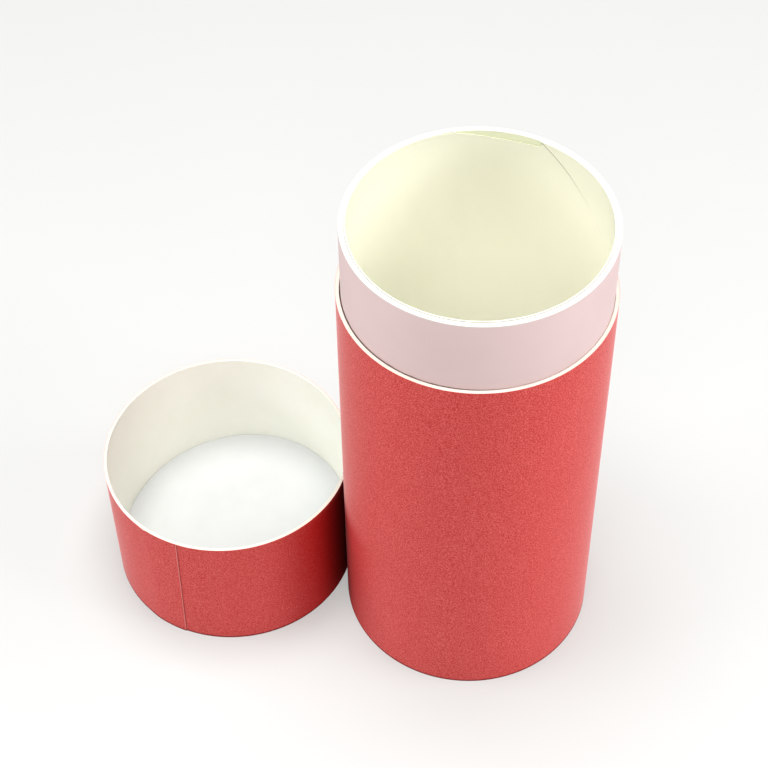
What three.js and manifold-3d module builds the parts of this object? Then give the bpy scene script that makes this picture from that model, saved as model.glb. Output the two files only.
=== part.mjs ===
// A lidded paper tube, standing open, with its lid upside down on the table beside it.
// Millimetres, +Z up. The origin is on the table, halfway between the axes of the tube and the lid.
//
// The body is two board tubes, one glued inside the other. The inner one stands up out of the outer one
// as a plain neck, and the lid slides over that neck until it meets the outer tube's cut edge.
// Red paper covers each sleeve, which is cut off flat at both ends, and a board disc is glued inside the
// closed end.
import * as THREE from "three";
import { mergeVertices } from "three/addons/utils/BufferGeometryUtils.js";
import Module from "manifold-3d";

const wasm = await Module();
wasm.setup();

// Driving dimensions of the walls
const outerRadius = 35;
const wrapThickness = 0.2;
const sleeveBoardWall = 0.7;
const neckGlueGap = 0.2;
const neckBoardWall = 1.5;
const linerGap = 0.05;
const linerThickness = 0.3;

// Driving dimensions of the heights
const sleeveHeight = 126;
const neckExposed = 21.9;
const lidHeight = 42.8;
const discThickness = 1.5;
const baseDiscRecess = 3.6;
const baseDiscClearance = 0.15;

// The neck sits a little off centre in the sleeve, so the glue line opens on the lid's side
const neckShift = 0.1;

// The lap of each paper wrap, by the angle of the cut edge that shows
const lapWidth = 10;
const lapFade = 3;
const bodySeamAngle = 112;
const lidSeamAngle = -99;
const lidLapProud = 0.4;

// The liner is one strip of paper wound inside the neck, and its edges meet in a helical butt seam
const linerSeamAngle = 73;
const linerSeamLead = 137;
const linerSeamGap = 0.35;

// Beside the seam the liner's top edge has slipped down from the rim. The dip is deepest a little past
// the seam and runs out to nothing on its far side.
const dipDepth = 2.25;
const dipPeak = 13;
const dipNearSpan = 45;
const dipFarSpan = 36;

// The lid lies beside the tube, almost touching it
const lidGap = 0.3;

// The lid's own disc is glued in at a slant, by the height of its face's centre
const lidDiscCentre = 6.6;
const lidDiscTilt = 7.2;
const lidDiscUphill = 35;
const lidDiscClearance = 0.6;

// Facets
const fullTurn = 360;
const facetAngle = 5;
const dipSteps = 14;
const cutterOverrun = 2;

const sleeveInner = outerRadius - wrapThickness - sleeveBoardWall;
const neckOuter = sleeveInner - neckGlueGap;
const neckInner = neckOuter - neckBoardWall;
const linerOuter = neckInner - linerGap;
const linerInner = linerOuter - linerThickness;
const baseDiscTop = baseDiscRecess + discThickness;
const neckTop = sleeveHeight + neckExposed;
const bodyAxis = outerRadius + lidGap / 2;

const degrees = THREE.MathUtils.degToRad;

const board = { color: 0xf3ecdf, roughness: 0.85, metalness: 0 };
const whitePaper = { color: 0xe9dcda, roughness: 0.6, metalness: 0 };
const linerPaper = { color: 0xeeedd6, roughness: 0.55, metalness: 0 };
const redPaper = { color: 0xc4413f, roughness: 0.7, metalness: 0 };
const discPaper = { color: 0xf4f5f2, roughness: 0.6, metalness: 0 };

function piece(name, geometry, look) {
  const mesh = new THREE.Mesh(geometry, new THREE.MeshStandardMaterial(look));
  mesh.name = name;
  return mesh;
}

// The angle that a length covers on the outside of a sleeve
function arcAngle(length) {
  return THREE.MathUtils.radToDeg(length / outerRadius);
}

// Angles from one to another, both included, in steps of at most one facet
function spread(from, to) {
  const steps = Math.ceil((to - from) / facetAngle);
  return Array.from({ length: steps + 1 }, (_, i) => from + ((to - from) * i) / steps);
}

// The angles at which a wrapped sleeve is faceted, counted on from the lap's cut edge. The board under
// the wrap has the same ones, so the two meet face to face.
function columnsWithLap(seamAngle) {
  const seamAgain = seamAngle + fullTurn;
  const lapStart = seamAgain - arcAngle(lapWidth);
  const plainStart = seamAngle + arcAngle(wrapThickness);
  const plainEnd = lapStart - arcAngle(lapFade);
  const plain = spread(plainStart, plainEnd).map((angle) => ({ angle, lift: 0 }));
  const lapped = spread(lapStart, seamAgain).map((angle) => ({ angle, lift: 1 }));
  return [...plain, ...lapped];
}

function evenColumns() {
  return spread(0, fullTurn - facetAngle).map((angle) => ({ angle, lift: 0 }));
}

// Sweeps a closed section, counter-clockwise in (r, z), round the axis through the given columns.
// pointAt gives a section point's radius and height at a column.
function swept(sectionLength, columns, pointAt) {
  const positions = [];
  columns.forEach((column) => {
    const turn = degrees(column.angle);
    for (let j = 0; j < sectionLength; j += 1) {
      const { r, z } = pointAt(j, column);
      positions.push(r * Math.cos(turn), r * Math.sin(turn), z);
    }
  });
  const index = [];
  columns.forEach((_, i) => {
    const here = i * sectionLength;
    const next = ((i + 1) % columns.length) * sectionLength;
    for (let j = 0; j < sectionLength; j += 1) {
      const k = (j + 1) % sectionLength;
      index.push(here + j, next + j, next + k);
      index.push(here + j, next + k, here + k);
    }
  });
  const geometry = new THREE.BufferGeometry();
  geometry.setAttribute("position", new THREE.Float32BufferAttribute(positions, 3));
  geometry.setIndex(index);
  geometry.computeVertexNormals();
  return geometry;
}

// A plain tube between two radii and two heights
function tube(inner, outer, bottom, top, columns) {
  const section = [
    { r: inner, z: bottom },
    { r: outer, z: bottom },
    { r: outer, z: top },
    { r: inner, z: top },
  ];
  return swept(section.length, columns, (j) => section[j]);
}

function boardSleeve(height, columns) {
  return tube(sleeveInner, outerRadius - wrapThickness, 0, height, columns);
}

// The red paper. Where it laps itself its outside stands out by one more thickness, and its top edge can
// stand proud of the board's.
function paperWrap(height, columns, lapProud) {
  const inner = outerRadius - wrapThickness;
  const corners = [
    { r: inner, z: 0 },
    { r: outerRadius, z: 0 },
    { r: outerRadius, z: height },
    { r: inner, z: height },
  ];
  return swept(corners.length, columns, (j, column) => {
    const { r, z } = corners[j];
    const outside = r > inner;
    const top = z > 0;
    return {
      r: outside ? r + column.lift * wrapThickness : r,
      z: top ? z + column.lift * lapProud : z,
    };
  });
}

function disc(radius, thickness) {
  const profile = [
    new THREE.Vector2(0, 0),
    new THREE.Vector2(radius, 0),
    new THREE.Vector2(radius, thickness),
    new THREE.Vector2(0, thickness),
  ];
  const geometry = new THREE.LatheGeometry(profile, fullTurn / facetAngle);
  geometry.rotateX(Math.PI / 2);
  return geometry;
}

function toSolid(geometry) {
  const bare = geometry.clone();
  bare.deleteAttribute("normal");
  bare.deleteAttribute("uv");
  const merged = mergeVertices(bare);
  return new wasm.Manifold(
    new wasm.Mesh({
      numProp: 3,
      vertProperties: merged.attributes.position.array,
      triVerts: new Uint32Array(merged.index.array),
    }),
  );
}

function toGeometry(solid) {
  const mesh = solid.getMesh();
  const geometry = new THREE.BufferGeometry();
  geometry.setAttribute("position", new THREE.BufferAttribute(mesh.vertProperties, 3));
  geometry.setIndex(new THREE.BufferAttribute(mesh.triVerts, 1));
  geometry.computeVertexNormals();
  return geometry;
}

// A curved bar with a rectangular section, running through the liner's wall from both sides. Each
// station has an angle and the bar's lowest and highest z there.
function wallCutter(stations) {
  const inner = linerInner - linerThickness;
  const outer = linerOuter + linerThickness;
  const positions = [];
  stations.forEach(({ angle, low, high }) => {
    const turn = degrees(angle);
    [
      [inner, low],
      [outer, low],
      [outer, high],
      [inner, high],
    ].forEach(([r, z]) => positions.push(r * Math.cos(turn), r * Math.sin(turn), z));
  });
  const index = [];
  for (let i = 0; i + 1 < stations.length; i += 1) {
    for (let j = 0; j < 4; j += 1) {
      const a = 4 * i + j;
      const b = 4 * i + ((j + 1) % 4);
      index.push(a, a + 4, b + 4, a, b + 4, b);
    }
  }
  const last = 4 * (stations.length - 1);
  index.push(0, 1, 2, 0, 2, 3);
  index.push(last, last + 2, last + 1, last, last + 3, last + 2);
  const geometry = new THREE.BufferGeometry();
  geometry.setAttribute("position", new THREE.Float32BufferAttribute(positions, 3));
  geometry.setIndex(index);
  return toSolid(geometry);
}

// The gap of the butt seam, from above the liner's top edge to below its bottom edge
function seamCutter() {
  const start = neckTop + cutterOverrun;
  const drop = start - (baseDiscTop - cutterOverrun);
  const steps = Math.ceil(((drop / linerSeamLead) * fullTurn) / facetAngle);
  const stations = [];
  for (let i = 0; i <= steps; i += 1) {
    const z = start - (drop * i) / steps;
    const angle = linerSeamAngle - ((neckTop - z) / linerSeamLead) * fullTurn;
    stations.unshift({ angle, low: z - linerSeamGap / 2, high: z + linerSeamGap / 2 });
  }
  return wallCutter(stations);
}

function dipCutter() {
  const stations = [];
  for (let i = 0; i <= dipSteps; i += 1) {
    const past = ((dipPeak + dipFarSpan) * i) / dipSteps;
    const span = past < dipPeak ? dipNearSpan : dipFarSpan;
    const share = Math.cos(((Math.PI / 2) * (past - dipPeak)) / span) ** 2;
    stations.push({
      angle: linerSeamAngle + past,
      low: neckTop - dipDepth * share,
      high: neckTop + cutterOverrun,
    });
  }
  return wallCutter(stations);
}

function liner() {
  const strip = toSolid(tube(linerInner, linerOuter, baseDiscTop, neckTop, evenColumns()));
  return toGeometry(strip.subtract(seamCutter()).subtract(dipCutter()));
}

function body() {
  const columns = columnsWithLap(bodySeamAngle);
  const group = new THREE.Group();
  group.position.x = bodyAxis;
  group.add(piece("body_sleeve_board", boardSleeve(sleeveHeight, columns), board));
  group.add(piece("body_red_wrap", paperWrap(sleeveHeight, columns, 0), redPaper));

  const discRadius = sleeveInner - baseDiscClearance;
  const baseDisc = piece("body_base_disc", disc(discRadius, discThickness), discPaper);
  baseDisc.position.z = baseDiscRecess;
  group.add(baseDisc);

  const neck = new THREE.Group();
  neck.position.x = neckShift;
  const neckTube = tube(neckInner, neckOuter, baseDiscTop, neckTop, evenColumns());
  neck.add(piece("body_neck_tube", neckTube, whitePaper));
  neck.add(piece("body_liner", liner(), linerPaper));
  group.add(neck);
  return group;
}

function lid() {
  const columns = columnsWithLap(lidSeamAngle);
  const group = new THREE.Group();
  group.position.x = -bodyAxis;
  group.add(piece("lid_sleeve_board", boardSleeve(lidHeight, columns), board));
  group.add(piece("lid_red_wrap", paperWrap(lidHeight, columns, lidLapProud), redPaper));

  const slanted = new THREE.Group();
  slanted.position.z = lidDiscCentre;
  slanted.rotation.set(0, -degrees(lidDiscTilt), degrees(lidDiscUphill), "ZYX");
  const lidDisc = piece("lid_disc", disc(sleeveInner - lidDiscClearance, discThickness), discPaper);
  lidDisc.position.z = -discThickness;
  slanted.add(lidDisc);
  group.add(slanted);
  return group;
}

const paperTube = new THREE.Group();
paperTube.add(body(), lid());
export default paperTube;
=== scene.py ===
# Looks for an open paper tube with its lid upside down beside it.
# Metres, +Z up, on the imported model's frame: the lid is on the -X side, the tube on the +X side.
import math

import bpy
from mathutils import Matrix, Vector


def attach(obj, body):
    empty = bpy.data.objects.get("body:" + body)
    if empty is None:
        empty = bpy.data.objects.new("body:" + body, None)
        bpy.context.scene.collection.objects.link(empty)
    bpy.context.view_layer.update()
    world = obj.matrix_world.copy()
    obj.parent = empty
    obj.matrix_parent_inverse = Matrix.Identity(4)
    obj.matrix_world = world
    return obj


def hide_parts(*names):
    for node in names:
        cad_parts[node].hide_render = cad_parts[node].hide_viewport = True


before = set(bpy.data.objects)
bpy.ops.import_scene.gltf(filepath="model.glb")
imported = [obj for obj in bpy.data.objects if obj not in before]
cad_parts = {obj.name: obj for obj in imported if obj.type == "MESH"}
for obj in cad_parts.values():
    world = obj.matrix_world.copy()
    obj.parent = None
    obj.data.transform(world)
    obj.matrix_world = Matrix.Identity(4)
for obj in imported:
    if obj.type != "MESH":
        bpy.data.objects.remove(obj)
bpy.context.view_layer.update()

MM = 0.001

# Sizes that the solids have too. Angles are in degrees, and a seam's angle is turned from +X.
OUTER_RADIUS = 35 * MM
WRAP_THICKNESS = 0.2 * MM
SLEEVE_BOARD_WALL = 0.7 * MM
NECK_GLUE_GAP = 0.2 * MM
NECK_BOARD_WALL = 1.5 * MM
NECK_SHIFT = 0.1 * MM
LINER_GAP = 0.05 * MM
LINER_THICKNESS = 0.3 * MM
SLEEVE_HEIGHT = 126 * MM
NECK_EXPOSED = 21.9 * MM
LID_HEIGHT = 42.8 * MM
LID_GAP = 0.3 * MM
DISC_THICKNESS = 1.5 * MM
BASE_DISC_RECESS = 3.6 * MM
BASE_DISC_CLEARANCE = 0.15 * MM
LID_DISC_CENTRE = 6.6 * MM
LID_DISC_TILT = 7.2
LID_DISC_UPHILL = 35
LAP_WIDTH = 10 * MM
LAP_FADE = 3 * MM
LAP_PROUD = 0.4 * MM
BODY_SEAM_ANGLE = 112
LINER_SEAM_ANGLE = 73
LINER_SEAM_LEAD = 137 * MM
DIP_DEPTH = 2.25 * MM
DIP_PEAK = 13
DIP_NEAR_SPAN = 45
DIP_FAR_SPAN = 36

# Sizes of the looks alone: joints, seams and edges finer than the solids have
JOINT_SLACK = 0.12 * MM
LINER_SEAM_GAP = 0.05 * MM
LID_SEAM_ANGLE = -98.6
LID_SEAM_LEAN = 1.7
LID_DISC_CLEARANCE = 0.02 * MM
DISC_UNDERCUT = 0.3 * MM
DISC_EDGE = 0.04 * MM
DISC_FACE_EDGE = 0.6 * MM
SLEEVE_EDGE = 0.12 * MM
NECK_EDGE = 0.3 * MM
DIP_LEAD_IN = 1.3
DIP_REACH = 14 * MM

FULL_TURN = 360
ARC_PER_DEGREE = math.radians(1) * OUTER_RADIUS
LAP_ANGLE = LAP_WIDTH / ARC_PER_DEGREE
FADE_ANGLE = LAP_FADE / ARC_PER_DEGREE
SLEEVE_INNER = OUTER_RADIUS - WRAP_THICKNESS - SLEEVE_BOARD_WALL
NECK_OUTER = SLEEVE_INNER - NECK_GLUE_GAP
NECK_INNER = NECK_OUTER - NECK_BOARD_WALL
LINER_INNER = NECK_INNER - LINER_GAP - LINER_THICKNESS
BASE_DISC_TOP = BASE_DISC_RECESS + DISC_THICKNESS
NECK_TOP = SLEEVE_HEIGHT + NECK_EXPOSED
BODY_AXIS = OUTER_RADIUS + LID_GAP / 2
LID_AXIS = -BODY_AXIS
NECK_AXIS = BODY_AXIS + NECK_SHIFT

# How finely the pieces are made
ROUND_STEPS = 288
EDGE_STEPS = 3
FADE_STEPS = 4
STRIP_CUTS = 27
WRAP_END_RING = 0.35 * MM
SEAM_TOLERANCE = 0.02
TOUCH = 0.001 * MM
SMOOTH_BELOW = 40


# Working by hand on one mesh

def start_piece(name):
    piece = bpy.context.object
    piece.name = name
    piece.data.name = name
    return piece


def open_mesh():
    bpy.ops.object.mode_set(mode="EDIT")
    bpy.ops.mesh.select_mode(type="VERT")


def close_mesh():
    bpy.ops.object.mode_set(mode="OBJECT")


def settle(piece):
    """Puts the piece's place, turn and size into its mesh."""
    bpy.ops.object.select_all(action="DESELECT")
    piece.select_set(True)
    bpy.context.view_layer.objects.active = piece
    bpy.ops.object.transform_apply(location=True, rotation=True, scale=True)


def pick_vertices(piece, wanted):
    """Selects the vertices whose place satisfies wanted. Starts and ends in edit mode."""
    bpy.ops.mesh.select_all(action="DESELECT")
    close_mesh()
    for vertex in piece.data.vertices:
        vertex.select = wanted(vertex.co)
    bpy.ops.object.mode_set(mode="EDIT")


def pick_faces(piece, wanted):
    """Selects the faces whose centre satisfies wanted. Starts and ends in edit mode."""
    bpy.ops.mesh.select_mode(type="FACE")
    bpy.ops.mesh.select_all(action="DESELECT")
    close_mesh()
    for face in piece.data.polygons:
        face.select = wanted(face.center)
    bpy.ops.object.mode_set(mode="EDIT")


def apply_modifier(piece, kind, **settings):
    modifier = piece.modifiers.new(kind.title(), kind)
    for name, value in settings.items():
        setattr(modifier, name, value)
    bpy.context.view_layer.objects.active = piece
    bpy.ops.object.modifier_apply(modifier=modifier.name)


def finish_piece(piece, node, material):
    """Smooths the piece, paints it, and lets it stand for its solid."""
    settle(piece)
    bpy.ops.object.shade_smooth_by_angle(angle=math.radians(SMOOTH_BELOW))
    piece.data.materials.clear()
    piece.data.materials.append(material)
    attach(piece, "root")
    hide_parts(node)
    bpy.ops.object.select_all(action="DESELECT")


def angle_round(place, axis_x):
    return math.degrees(math.atan2(place.y, place.x - axis_x)) % FULL_TURN


# Board tubes, turned from one rectangle of wall

def turned_wall(name, axis_x, inner, outer, bottom, top, edge):
    bpy.ops.mesh.primitive_plane_add(size=1, location=(0, 0, 0), rotation=(math.pi / 2, 0, 0))
    piece = start_piece(name)
    piece.scale = (outer - inner, top - bottom, 1)
    piece.location = (axis_x + (inner + outer) / 2, 0, (bottom + top) / 2)
    settle(piece)
    open_mesh()
    bpy.ops.mesh.select_all(action="SELECT")
    bpy.ops.mesh.bevel(affect="VERTICES", offset=edge, segments=EDGE_STEPS)
    bpy.ops.mesh.delete(type="ONLY_FACE")
    bpy.ops.mesh.select_all(action="SELECT")
    bpy.ops.mesh.spin(steps=ROUND_STEPS, angle=2 * math.pi, center=(axis_x, 0, 0), axis=(0, 0, 1))
    bpy.ops.mesh.select_all(action="SELECT")
    bpy.ops.mesh.remove_doubles(threshold=TOUCH)
    bpy.ops.mesh.normals_make_consistent(inside=False)
    close_mesh()
    return piece


# A sheet of red paper, rolled round a sleeve and lapped over itself

def rolled_wrap(name, axis_x, height, seam_angle, lean, proud):
    """The lap's edge leans by some degrees from foot to top, and its top stands proud of the rim."""
    bpy.ops.mesh.primitive_cylinder_add(
        vertices=ROUND_STEPS, radius=OUTER_RADIUS, depth=height,
        end_fill_type="NOTHING", location=(axis_x, 0, height / 2),
    )
    piece = start_piece(name)
    settle(piece)
    open_mesh()
    # Two cuts close together make the lap's edge a sharp step
    for shift in (0, WRAP_THICKNESS / 2):
        cut_seam(piece, axis_x, height, seam_angle, lean, shift)
    for level in (WRAP_END_RING, height / 2, height - WRAP_END_RING):
        bpy.ops.mesh.select_all(action="SELECT")
        bpy.ops.mesh.bisect(plane_co=(axis_x, 0, level), plane_no=(0, 0, 1), threshold=TOUCH)

    def back_of_seam(place):
        seam = seam_angle + lean * (place.z / height - 0.5)
        return (seam - angle_round(place, axis_x)) % FULL_TURN

    def on_lap(place):
        back = back_of_seam(place)
        return back < LAP_ANGLE or back > FULL_TURN - SEAM_TOLERANCE

    def on_lap_top(place):
        return on_lap(place) and place.z > height - TOUCH

    pick_vertices(piece, on_lap)
    bpy.ops.transform.shrink_fatten(value=WRAP_THICKNESS)
    lift_fade(piece, back_of_seam)
    pick_vertices(piece, on_lap_top)
    bpy.ops.transform.translate(value=(0, 0, proud))
    close_mesh()
    apply_modifier(piece, "SOLIDIFY", thickness=WRAP_THICKNESS, offset=-1, use_rim=True)
    return piece


def cut_seam(piece, axis_x, height, seam_angle, lean, shift):
    """Cuts the wall along the seam's leaning line, on the seam's side only."""
    turn = math.radians(seam_angle)
    out = Vector((math.cos(turn), math.sin(turn), 0))
    along = Vector((-math.sin(turn), math.cos(turn), 0))
    slope = math.radians(lean) * OUTER_RADIUS / height
    seam_middle = Vector((axis_x, 0, height / 2)) + out * OUTER_RADIUS + along * shift

    def near_seam(place):
        return (place - Vector((axis_x, 0, place.z))).dot(out) > OUTER_RADIUS / 2

    pick_faces(piece, near_seam)
    bpy.ops.mesh.bisect(plane_co=seam_middle, plane_no=along - Vector((0, 0, slope)), threshold=TOUCH)
    bpy.ops.mesh.select_mode(type="VERT")


def lift_fade(piece, back_of_seam):
    """Lets the lapped paper run down to the plain wall, in steps."""
    for step in range(FADE_STEPS):
        low = LAP_ANGLE + FADE_ANGLE * step / FADE_STEPS
        high = LAP_ANGLE + FADE_ANGLE * (step + 1) / FADE_STEPS
        share = 1 - (step + 0.5) / FADE_STEPS
        pick_vertices(piece, lambda place: low <= back_of_seam(place) < high)
        bpy.ops.transform.shrink_fatten(value=WRAP_THICKNESS * share)


# The liner: a strip of paper wound up a helix, with its edges nearly meeting, cut off at both ends

def wound_liner(name):
    turns = math.ceil((NECK_TOP - BASE_DISC_TOP) / LINER_SEAM_LEAD) + 1
    strip = LINER_SEAM_LEAD - LINER_SEAM_GAP
    bpy.ops.mesh.primitive_plane_add(size=1, location=(0, 0, 0), rotation=(math.pi / 2, 0, 0))
    piece = start_piece(name)
    piece.scale = (LINER_INNER, strip, 1)
    settle(piece)
    open_mesh()
    pick_vertices(piece, lambda place: place.x < 0)
    bpy.ops.mesh.delete(type="VERT")
    bpy.ops.mesh.select_all(action="SELECT")
    bpy.ops.transform.translate(value=(LINER_INNER / 2, 0, 0))
    bpy.ops.mesh.subdivide(number_cuts=STRIP_CUTS)
    close_mesh()
    apply_modifier(
        piece, "SCREW", axis="Z", angle=2 * math.pi * turns, steps=ROUND_STEPS * turns,
        render_steps=ROUND_STEPS * turns, screw_offset=LINER_SEAM_LEAD * turns, use_merge_vertices=False,
    )
    # The winding is turned and lifted so that the strip's top edge meets the rim at the seam
    start_height = NECK_TOP - strip / 2 - LINER_SEAM_LEAD * (turns - 1)
    piece.rotation_euler = (0, 0, math.radians(LINER_SEAM_ANGLE))
    piece.location = (NECK_AXIS, 0, start_height)
    settle(piece)
    open_mesh()
    for level, keep_above in ((BASE_DISC_TOP, True), (NECK_TOP, False)):
        bpy.ops.mesh.select_all(action="SELECT")
        bpy.ops.mesh.bisect(
            plane_co=(NECK_AXIS, 0, level), plane_no=(0, 0, 1),
            clear_inner=keep_above, clear_outer=not keep_above,
        )
    sink_top_edge(piece)
    bpy.ops.mesh.select_all(action="SELECT")
    bpy.ops.mesh.normals_make_consistent(inside=True)
    close_mesh()
    apply_modifier(piece, "SOLIDIFY", thickness=LINER_THICKNESS, offset=-1, use_rim=True)
    return piece


def dip_share(past):
    """How much of the dip's full depth there is at an angle past the seam."""
    if past < 0:
        return dip_share(0) * max(0, 1 + past / DIP_LEAD_IN)
    span = DIP_NEAR_SPAN if past < DIP_PEAK else DIP_FAR_SPAN
    if abs(past - DIP_PEAK) > span:
        return 0
    return math.cos(math.pi / 2 * (past - DIP_PEAK) / span) ** 2


def sink_top_edge(piece):
    """Draws the strip down along the dip, one column of its vertices after another."""
    column = FULL_TURN / ROUND_STEPS
    first = -int(DIP_LEAD_IN / column)
    last = int((DIP_PEAK + DIP_FAR_SPAN) / column)
    root = NECK_TOP - DIP_REACH
    for i in range(first, last + 1):
        past = i * column

        def in_column(place):
            turned = angle_round(place, NECK_AXIS) - LINER_SEAM_ANGLE - past
            off = (turned + FULL_TURN / 2) % FULL_TURN - FULL_TURN / 2
            seam_height = NECK_TOP + min(0, past) / FULL_TURN * LINER_SEAM_LEAD
            return abs(off) < column / 2 and root < place.z < seam_height + TOUCH

        pick_vertices(piece, in_column)
        drawn = 1 - DIP_DEPTH * dip_share(past) / DIP_REACH
        bpy.ops.transform.resize(value=(1, 1, drawn), center_override=(0, 0, root))


# Discs, cut from board, with their edges softened by the punch

def punched_disc(name, radius):
    """A disc lying face up under the origin, a little smaller at its back."""
    back_radius = radius - DISC_UNDERCUT
    bpy.ops.mesh.primitive_circle_add(
        vertices=ROUND_STEPS, radius=back_radius, fill_type="NGON", location=(0, 0, -DISC_THICKNESS),
    )
    piece = start_piece(name)
    settle(piece)
    open_mesh()
    bpy.ops.mesh.select_all(action="SELECT")
    bpy.ops.mesh.extrude_region_move(TRANSFORM_OT_translate={"value": (0, 0, DISC_THICKNESS)})
    flare = radius / back_radius
    bpy.ops.transform.resize(value=(flare, flare, 1), center_override=(0, 0, 0))
    bpy.ops.mesh.select_all(action="SELECT")
    bpy.ops.mesh.normals_make_consistent(inside=False)

    def on_face_or_back(place):
        return place.xy.length < radius / 2

    pick_faces(piece, on_face_or_back)
    bpy.ops.mesh.region_to_loop()
    bpy.ops.mesh.bevel(offset=DISC_EDGE, segments=EDGE_STEPS)
    pick_faces(piece, on_face_or_back)
    bpy.ops.mesh.inset(thickness=DISC_FACE_EDGE)
    close_mesh()
    return piece


def lay_disc(piece, axis_x, height, tilt=0, uphill=0):
    """Sets the disc's face at a height. A tilted disc is a little longer, to fill the tube."""
    piece.location = (axis_x, 0, height)
    piece.rotation_euler = (0, -math.radians(tilt), math.radians(uphill))
    piece.scale = (1 / math.cos(math.radians(tilt)), 1, 1)
    settle(piece)


# Shader sums

def both_ways(operation):
    """The method behind an operator, and its reflected form."""
    def plain(self, other):
        return self.maths(operation, self, other)

    def reflected(self, other):
        return self.maths(operation, other, self)

    return plain, reflected


class Wire:
    """A shader output that can be used in sums."""

    __add__, __radd__ = both_ways("ADD")
    __sub__, __rsub__ = both_ways("SUBTRACT")
    __mul__, __rmul__ = both_ways("MULTIPLY")
    __truediv__, __rtruediv__ = both_ways("DIVIDE")
    __pow__, __rpow__ = both_ways("POWER")
    __mod__, __rmod__ = both_ways("FLOORED_MODULO")

    def __init__(self, paint, socket):
        self.paint = paint
        self.socket = socket

    def maths(self, operation, first, second):
        return self.paint.node("ShaderNodeMath", {"operation": operation}, {0: first, 1: second})

    def away_from(self, other):
        """How far one value lies from another, on either side."""
        return self.maths("ABSOLUTE", self - other, 0)

    def angle_over(self, across):
        """The angle in degrees whose height is this and whose reach is across."""
        return self.maths("ARCTAN2", self, across) * math.degrees(1)


# Sockets of the node that mixes two colours, and of the node that mixes two finishes
MIX_SHARE = 0
MIX_FIRST = 6
MIX_SECOND = 7
MIX_RESULT = 2
LAYER_SHARE = 0
LAYER_UNDER = 1
LAYER_OVER = 2


class Paint:
    """A material in the making, with its Principled shader."""

    def __init__(self, name):
        self.material = bpy.data.materials.new(name)
        self.material.use_nodes = True
        self.tree = self.material.node_tree
        self.shader = self.tree.nodes["Principled BSDF"]
        self.place = self.node("ShaderNodeTexCoord", {}, {}, "Object")

    def node(self, kind, settings, inputs, output=0):
        made = self.tree.nodes.new(kind)
        for name, value in settings.items():
            setattr(made, name, value)
        for name, value in inputs.items():
            self.feed(made.inputs[name], value)
        return Wire(self, made.outputs[output])

    def feed(self, socket, value):
        if isinstance(value, Wire):
            self.tree.links.new(value.socket, socket)
        else:
            socket.default_value = value

    def along(self, axis):
        """How far along X, Y or Z a place lies."""
        return self.node("ShaderNodeSeparateXYZ", {}, {"Vector": self.place}, axis)

    def distance_from(self, axis_x):
        """The distance from an upright axis."""
        across = self.along("X") - axis_x
        deep = self.along("Y")
        return (across * across + deep * deep) ** 0.5

    def angle_round(self, axis_x):
        """The angle round an upright axis, in degrees."""
        return self.along("Y").angle_over(self.along("X") - axis_x)

    def noise(self, size, detail, roughness=0.55, stretch=(1, 1, 1)):
        """Noise with grains of about the given size, from 0 to 1."""
        place = self.node("ShaderNodeMapping", {}, {"Vector": self.place, "Scale": stretch})
        inputs = {"Vector": place, "Scale": 1 / size, "Detail": detail, "Roughness": roughness}
        return self.node("ShaderNodeTexNoise", {}, inputs, "Fac")

    def ramp(self, value, low, high, at_low, at_high, kind):
        inputs = {"Value": value, "From Min": low, "From Max": high, "To Min": at_low, "To Max": at_high}
        return self.node("ShaderNodeMapRange", {"interpolation_type": kind}, inputs)

    def above(self, value, low, high, share=1):
        """0 below low, and the share above high."""
        return self.ramp(value, low, high, 0, share, "SMOOTHSTEP")

    def below(self, value, low, high, share=1, kind="SMOOTHSTEP"):
        """The share below low, and 0 above high."""
        return self.ramp(value, low, high, share, 0, kind)

    def blend(self, share, first, second):
        """Mixes two colours."""
        inputs = {MIX_SHARE: share, MIX_FIRST: first, MIX_SECOND: second}
        return self.node("ShaderNodeMix", {"data_type": "RGBA"}, inputs, MIX_RESULT)

    def clouded(self, size, detail, spread, first, second):
        """Two close colours in soft clouds of about the given size."""
        return self.blend(self.above(self.noise(size, detail), *spread), first, second)

    def set(self, **values):
        """Sets the shader's sockets, by their names with _ for a space."""
        for name, value in values.items():
            self.feed(self.shader.inputs[name.replace("_", " ")], value)

    def feel(self, fibre, roughness, spread, gloss, depth, strength=0.4):
        """Roughness that varies with the fibre, a soft gloss, and the fibre standing up by a depth."""
        bump = {"Height": fibre, "Distance": depth, "Strength": strength}
        self.set(Roughness=roughness + fibre * spread, Specular_IOR_Level=gloss)
        self.set(Normal=self.node("ShaderNodeBump", {}, bump))

    def cover(self, share, colour):
        """Lays a dead matt colour over the finish, by a share."""
        dead_matt = {"Base Color": colour, "Roughness": 1, "Specular IOR Level": 0}
        matt = self.node("ShaderNodeBsdfPrincipled", {}, dead_matt, "BSDF")
        finish = Wire(self, self.shader.outputs["BSDF"])
        layers = {LAYER_SHARE: share, LAYER_UNDER: finish, LAYER_OVER: matt}
        mixed = self.node("ShaderNodeMixShader", {}, layers, "Shader")
        self.feed(self.tree.nodes["Material Output"].inputs["Surface"], mixed)


def tone(red, green, blue):
    """A colour as seen on a screen, 0 to 255, made linear."""
    def linear(value):
        share = value / 255
        if share <= 0.04045:
            return share / 12.92
        return ((share + 0.055) / 1.055) ** 2.4
    return (linear(red), linear(green), linear(blue), 1)


# Where noise is parted into two shades, on its scale from 0 to 1
CLOUD_SPREAD = (0.35, 0.65)
WIDE_SPREAD = (0.3, 0.7)
FLECK_SPREAD = (0.66, 0.76)
SPECK_SPREAD = (0.79, 0.83)
FURRED_SPREAD = (0.35, 0.7)

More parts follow.
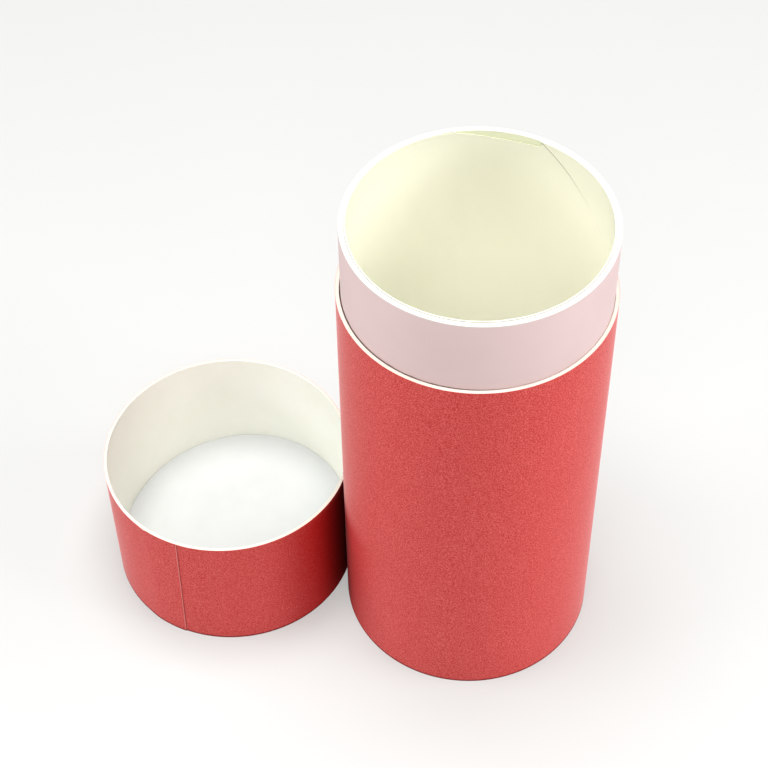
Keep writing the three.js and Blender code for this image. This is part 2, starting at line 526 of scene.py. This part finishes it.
# Colours of the dyed paper, of its wear, and of the painted shade on it
DEEP_RED = (0.555, 0.016, 0.015, 1)
GRAIN_RED = (0.785, 0.124, 0.113, 1)
CLOUD_RED = (0.6, 0.035, 0.032, 1)
FLECK_RED = tone(240, 140, 130)
WORN_RED = tone(244, 168, 160)
SHADOW_RED = tone(120, 22, 22)
# The next two are a painted contact shadow at the foot
FOOT_SHADE_RED = tone(96, 10, 12)
FOOT_MATT_SHADE_RED = tone(90, 6, 8)
# The next two are painted shade, where the lid and the tube face each other
WEDGE_SHADE_RED = tone(186, 6, 6)
WEDGE_CORE_SHADE_RED = tone(112, 2, 2)
WHITE_CORE = tone(220, 207, 195)

# Colours of the other papers and of the board
CUT_BOARD = tone(220, 209, 199)
FURRED_BOARD = tone(208, 193, 177)
LID_CREAMS = (tone(245, 246, 235), tone(247, 248, 239))
LID_RIM_CREAM = tone(208, 203, 190)
NECK_WHITES = (tone(216, 191, 190), tone(219, 194, 193))
NECK_SPECK = tone(150, 120, 116)
NECK_CREAM = tone(222, 225, 194)
NECK_RIM_WHITE = tone(208, 205, 199)
# Glue and painted shade in the neck's open joint
GLUE_AND_GAP_SHADE = tone(86, 66, 62)
LINER_CREAMS = (tone(254, 253, 238), tone(255, 254, 241))
# Painted shade on the liner's upper part
RIM_SHADE_CREAM = tone(246, 245, 227)
# Painted shade along the liner's seam slot
SEAM_SHADE_BROWN = tone(96, 90, 70)
# Painted shade on the liner's top edge where it dips
DIP_EDGE_SHADE = tone(158, 160, 126)
LINER_RIM_CREAM = tone(212, 210, 198)
DISC_WHITES = (tone(177, 179, 178), tone(180, 182, 181))
TABLE_GREYS = (tone(149, 150, 149), tone(151, 152, 151))
TABLE_GLOW = tone(255, 255, 252)

# Where the marks and the painted shade on the dyed paper are full, and where they end
LAP_WEAR = (0.1 * MM, 0.22 * MM)
LAP_SHADOW = (0.08 * MM, 0.26 * MM)
# Height of the painted contact shadow at the foot
FOOT_SHADE = (0.3 * MM, 0.8 * MM)
# The next three set where the painted shade between the lid and the tube is full and where it ends
WEDGE_SHADE_REACH = (0, 28 * MM)
WEDGE_CORE_SHADE_REACH = (0, 11 * MM)
WEDGE_SHADE_TOP = (LID_HEIGHT - 4 * MM, LID_HEIGHT + 8 * MM)
DYE_DEPTH = (0.035 * MM, 0.05 * MM)
COVERED = 0.95

# The same for the other papers and the board
LID_RIM = (LID_HEIGHT - 0.15 * MM, LID_HEIGHT - 0.05 * MM)
NECK_INSIDE = (NECK_INNER + 0.2 * MM, NECK_INNER + 0.5 * MM)
NECK_RIM = (NECK_TOP - 0.35 * MM, NECK_TOP - 0.2 * MM)
# The next three place the glue and painted shade at the neck's joint
GLUE_AND_SHADE_TOP = (SLEEVE_HEIGHT - 0.3 * MM, SLEEVE_HEIGHT - 0.14 * MM)
GLUE_AND_SHADE_SIDE = (NECK_AXIS - 8 * MM, NECK_AXIS + 26 * MM)
GLUE_AND_SHADE_RAGGED = 0.7 * MM
# Where the painted shade on the liner's upper part begins and where it is full
RIM_SHADE_PART = (NECK_TOP - 75 * MM, NECK_TOP - 5 * MM)
SEAM_LINE = (0.06 * MM, 0.2 * MM)
SEAM_PART = (NECK_TOP - 13 * MM, NECK_TOP - 5 * MM)
LINER_EDGE = (LINER_INNER + 0.03 * MM, LINER_INNER + 0.05 * MM)
LINER_RIM = (NECK_TOP - 0.12 * MM, NECK_TOP - 0.04 * MM)


# Finishes

def red_paper(name, axis_x, beside_x, height, seam_angle, lean):
    """Uncoated white paper dyed red on its face, with a pale grain, white at its cut edges, and painted
    shade where the lid and the tube stand close and at the foot.
    """
    paint = Paint(name)
    z = paint.along("Z")
    grain = paint.noise(size=0.3 * MM, detail=1)
    body = paint.blend(paint.above(grain, *WIDE_SPREAD), DEEP_RED, GRAIN_RED)
    cloud = paint.above(paint.noise(size=16 * MM, detail=2), *CLOUD_SPREAD, share=0.12)
    soft = paint.blend(cloud, body, CLOUD_RED)
    fleck = paint.above(paint.noise(size=0.55 * MM, detail=1), *FLECK_SPREAD, share=0.35)
    flecked = paint.blend(fleck, soft, FLECK_RED)

    # The lap's edge is worn pale, with a shadow line beside it
    seam = seam_angle + lean * (z / height - 0.5)
    back = (seam - paint.angle_round(axis_x)) % FULL_TURN
    worn = paint.below(back * ARC_PER_DEGREE, *LAP_WEAR, share=0.75)
    shadow = paint.below((FULL_TURN - back) * ARC_PER_DEGREE, *LAP_SHADOW, share=0.55)
    shaded = paint.blend(shadow, paint.blend(worn, flecked, WORN_RED), SHADOW_RED)

    # A painted contact shadow darkens the foot, where it meets the table
    foot_shaded = paint.blend(paint.below(z, *FOOT_SHADE, share=0.85), shaded, FOOT_SHADE_RED)

    # The paper is white right through, which shows where it is cut
    lap_lift = paint.below(back, LAP_ANGLE, LAP_ANGLE + FADE_ANGLE, share=WRAP_THICKNESS, kind="LINEAR")
    depth = OUTER_RADIUS + lap_lift - paint.distance_from(axis_x)
    cut = paint.above(depth, *DYE_DEPTH)
    paint.set(Base_Color=paint.blend(cut, foot_shaded, WHITE_CORE))
    paint.set(Sheen_Weight=0.18, Sheen_Roughness=0.3)
    paint.feel(grain, roughness=0.5, spread=0.2, gloss=0.22, depth=0.05 * MM, strength=0.5)

    # Painted shade: the face is painted a deep matt red where the lid and the tube stand close together,
    # and a painted contact shadow darkens the foot
    gap = paint.distance_from(beside_x) - OUTER_RADIUS
    wedge_shade = paint.below(gap, *WEDGE_SHADE_REACH) * paint.below(z, *WEDGE_SHADE_TOP)
    wedge_shade_colour = paint.blend(paint.below(gap, *WEDGE_CORE_SHADE_REACH), WEDGE_SHADE_RED, WEDGE_CORE_SHADE_RED)
    foot_shade = paint.below(z, *FOOT_SHADE, share=0.6)
    either = wedge_shade + foot_shade - wedge_shade * foot_shade
    paint.cover(either * (1 - cut) * COVERED, paint.blend(foot_shade, wedge_shade_colour, FOOT_MATT_SHADE_RED))
    return paint.material


def cut_board():
    """Cream board, slightly furred where the blade cut it."""
    paint = Paint("cut_board")
    fibre = paint.noise(size=0.5 * MM, detail=4, roughness=0.7)
    cloud = paint.noise(size=6 * MM, detail=3)
    furred = paint.above(fibre * 0.6 + cloud * 0.4, *FURRED_SPREAD, share=0.6)
    paint.set(Base_Color=paint.blend(furred, CUT_BOARD, FURRED_BOARD))
    paint.feel(fibre, roughness=0.78, spread=0.12, gloss=0.3, depth=0.05 * MM, strength=0.5)
    return paint.material


def lid_board():
    """The lid's inside: cream board with a soft calendered face."""
    paint = Paint("lid_board")
    fibre = paint.noise(size=0.6 * MM, detail=4, roughness=0.65, stretch=(1, 1, 0.5))
    face = paint.clouded(12 * MM, 2, WIDE_SPREAD, *LID_CREAMS)
    rim = paint.above(paint.along("Z"), *LID_RIM)
    paint.set(Base_Color=paint.blend(rim, face, LID_RIM_CREAM))
    paint.feel(fibre, roughness=0.6, spread=0.15, gloss=0.35, depth=0.02 * MM)
    return paint.material


def neck_paper():
    """Smooth white paper over the neck board, cream where it turns inside."""
    paint = Paint("neck_paper")
    z = paint.along("Z")
    fibre = paint.noise(size=0.5 * MM, detail=3, roughness=0.6)
    paper = paint.clouded(18 * MM, 2, CLOUD_SPREAD, *NECK_WHITES)
    speck = paint.above(paint.noise(size=0.7 * MM, detail=1), *SPECK_SPREAD, share=0.5)
    specked = paint.blend(speck, paper, NECK_SPECK)
    inside = paint.below(paint.distance_from(NECK_AXIS), *NECK_INSIDE)
    lined = paint.blend(inside, specked, NECK_CREAM)
    rimmed = paint.blend(paint.above(z, *NECK_RIM), lined, NECK_RIM_WHITE)

    # The joint with the sleeve stands open a little on one side: a ragged dark line there is partly glue
    # and partly painted shade of the open gap
    ragged = paint.noise(size=3 * MM, detail=3, roughness=0.6) * GLUE_AND_SHADE_RAGGED
    low = paint.below(z - ragged, *GLUE_AND_SHADE_TOP)
    open_side = paint.below(paint.along("X"), *GLUE_AND_SHADE_SIDE, share=0.75)
    paint.set(Base_Color=paint.blend(low * open_side, rimmed, GLUE_AND_GAP_SHADE))
    paint.feel(fibre, roughness=0.5, spread=0.14, gloss=0.4, depth=0.012 * MM)
    return paint.material


def liner_paper():
    """Cream paper, painted a little darker towards the rim as shade, with a dark line of painted shade
    where its turns meet near the rim, and a top edge painted darker as shade where it dips.
    """
    paint = Paint("liner_paper")
    z = paint.along("Z")
    fibre = paint.noise(size=0.5 * MM, detail=4, roughness=0.65)
    unshaded_cream = paint.clouded(12 * MM, 3, CLOUD_SPREAD, *LINER_CREAMS)
    # Painted shade: the liner is painted a little darker towards the rim
    paper = paint.blend(paint.above(z, *RIM_SHADE_PART), unshaded_cream, RIM_SHADE_CREAM)
    # A dark line of painted shade runs along the seam's narrow slot, near the rim only
    back = (LINER_SEAM_ANGLE - paint.angle_round(NECK_AXIS)) % FULL_TURN
    seam = NECK_TOP - LINER_SEAM_LEAD / FULL_TURN * back
    line = paint.below(z.away_from(seam), *SEAM_LINE, share=0.7)
    lined = paint.blend(line * paint.above(z, *SEAM_PART), paper, SEAM_SHADE_BROWN)
    # The top edge is painted darker where it dips below the rim, as shade
    edge_colour = paint.blend(paint.above(z, *LINER_RIM), DIP_EDGE_SHADE, LINER_RIM_CREAM)
    edge = paint.above(paint.distance_from(NECK_AXIS), *LINER_EDGE)
    paint.set(Base_Color=paint.blend(edge, lined, edge_colour))
    paint.feel(fibre, roughness=0.5, spread=0.14, gloss=0.4, depth=0.015 * MM)
    return paint.material


def disc_paper():
    """White paper on the discs."""
    paint = Paint("disc_paper")
    fibre = paint.noise(size=0.5 * MM, detail=4, roughness=0.65)
    paint.set(Base_Color=paint.clouded(14 * MM, 3, CLOUD_SPREAD, *DISC_WHITES))
    paint.feel(fibre, roughness=0.55, spread=0.14, gloss=0.35, depth=0.015 * MM)
    return paint.material


def tabletop():
    """A pale table that glows a little, so that it comes out nearly white."""
    paint = Paint("tabletop")
    cloud = paint.noise(size=60 * MM, detail=3)
    paint.set(Base_Color=paint.blend(cloud, *TABLE_GREYS), Roughness=0.7)
    paint.set(Emission_Color=TABLE_GLOW, Emission_Strength=0.315)
    return paint.material


# The pieces

def make_tube():
    sleeve = turned_wall(
        "tube_sleeve_board", BODY_AXIS, SLEEVE_INNER - JOINT_SLACK, OUTER_RADIUS - WRAP_THICKNESS,
        0, SLEEVE_HEIGHT, SLEEVE_EDGE,
    )
    finish_piece(sleeve, "body_sleeve_board", cut_board())
    wrap = rolled_wrap("tube_red_wrap", BODY_AXIS, SLEEVE_HEIGHT, BODY_SEAM_ANGLE, 0, 0)
    paper = red_paper("tube_red_paper", BODY_AXIS, LID_AXIS, SLEEVE_HEIGHT, BODY_SEAM_ANGLE, 0)
    finish_piece(wrap, "body_red_wrap", paper)
    neck = turned_wall(
        "tube_neck", NECK_AXIS, NECK_INNER, NECK_OUTER - JOINT_SLACK,
        BASE_DISC_TOP, NECK_TOP, NECK_EDGE,
    )
    finish_piece(neck, "body_neck_tube", neck_paper())
    liner = wound_liner("tube_liner")
    finish_piece(liner, "body_liner", liner_paper())
    disc = punched_disc("tube_base_disc", SLEEVE_INNER - BASE_DISC_CLEARANCE)
    lay_disc(disc, BODY_AXIS, BASE_DISC_TOP)
    finish_piece(disc, "body_base_disc", disc_paper())


def make_lid():
    sleeve = turned_wall(
        "lid_sleeve", LID_AXIS, SLEEVE_INNER, OUTER_RADIUS - WRAP_THICKNESS, 0, LID_HEIGHT, SLEEVE_EDGE,
    )
    finish_piece(sleeve, "lid_sleeve_board", lid_board())
    wrap = rolled_wrap("lid_wrap", LID_AXIS, LID_HEIGHT, LID_SEAM_ANGLE, LID_SEAM_LEAN, LAP_PROUD)
    paper = red_paper("lid_red_paper", LID_AXIS, BODY_AXIS, LID_HEIGHT, LID_SEAM_ANGLE, LID_SEAM_LEAN)
    finish_piece(wrap, "lid_red_wrap", paper)
    disc = punched_disc("lid_end_disc", SLEEVE_INNER - LID_DISC_CLEARANCE)
    lay_disc(disc, LID_AXIS, LID_DISC_CENTRE, LID_DISC_TILT, LID_DISC_UPHILL)
    finish_piece(disc, "lid_disc", disc_paper())


# The studio. The camera stands where the photograph was taken from.

CAMERA_PLACE = Vector((85.86 * MM, -316.52 * MM, 461.21 * MM))
CAMERA_YAW = math.radians(-13.273)
CAMERA_PITCH = math.radians(49.304)
CAMERA_ROLL = math.radians(-1.0185)
CAMERA_LENS = 88.24
SENSOR = 36
NEAREST_SEEN = 10 * MM

# The softboxes stand round the middle of the pair, with widths in metres and powers in watts
PAIR_MIDDLE = Vector((0, 0, 60 * MM))
TOP_SOFTBOX = {"offset": Vector((0, 0.02, 1.2)), "width": 0.7, "power": 24.5}
LEFT_SOFTBOX = {"offset": Vector((-0.95, -0.3, 0.6)), "width": 0.6, "power": 5.6}
FRONT_SOFTBOX = {"offset": Vector((0.1, -0.75, 0.95)), "width": 0.6, "power": 4.6}
RIGHT_SOFTBOX = {"offset": Vector((1.0, 0.0, 0.55)), "width": 0.6, "power": 8.2}
ROOM_LIGHT = 0.02
FLOOR_WIDTH = 12


def make_camera():
    ahead = Vector((
        math.sin(CAMERA_YAW) * math.cos(CAMERA_PITCH),
        math.cos(CAMERA_YAW) * math.cos(CAMERA_PITCH),
        -math.sin(CAMERA_PITCH),
    ))
    level = Vector((math.cos(CAMERA_YAW), -math.sin(CAMERA_YAW), 0))
    upright = level.cross(ahead)
    right = math.cos(CAMERA_ROLL) * level + math.sin(CAMERA_ROLL) * upright
    up = -math.sin(CAMERA_ROLL) * level + math.cos(CAMERA_ROLL) * upright
    data = bpy.data.cameras.new("camera")
    data.lens = CAMERA_LENS
    data.sensor_width = SENSOR
    data.clip_start = NEAREST_SEEN
    camera = bpy.data.objects.new("camera", data)
    turn = Matrix((right, up, -ahead)).transposed()
    camera.matrix_world = Matrix.Translation(CAMERA_PLACE) @ turn.to_4x4()
    bpy.context.scene.collection.objects.link(camera)
    bpy.context.scene.camera = camera


def make_floor():
    bpy.ops.mesh.primitive_plane_add(size=FLOOR_WIDTH, location=(0, 0, 0))
    floor = start_piece("floor")
    floor.data.materials.append(tabletop())


def make_softbox(name, offset, width, power):
    data = bpy.data.lights.new(name, "AREA")
    data.shape = "SQUARE"
    data.size = width
    data.energy = power
    light = bpy.data.objects.new(name, data)
    light.location = PAIR_MIDDLE + offset
    light.rotation_euler = (-offset).to_track_quat("-Z", "Y").to_euler()
    bpy.context.scene.collection.objects.link(light)


def make_light():
    world = bpy.data.worlds.new("studio")
    world.use_nodes = True
    room = world.node_tree.nodes["Background"]
    room.inputs["Color"].default_value = (1, 1, 1, 1)
    room.inputs["Strength"].default_value = ROOM_LIGHT
    bpy.context.scene.world = world
    make_softbox("top_softbox", **TOP_SOFTBOX)
    make_softbox("left_softbox", **LEFT_SOFTBOX)
    make_softbox("front_softbox", **FRONT_SOFTBOX)
    make_softbox("right_softbox", **RIGHT_SOFTBOX)
    bpy.context.scene.view_settings.view_transform = "Standard"


bpy.ops.object.select_all(action="DESELECT")
make_camera()
make_light()
make_floor()
make_tube()
make_lid()
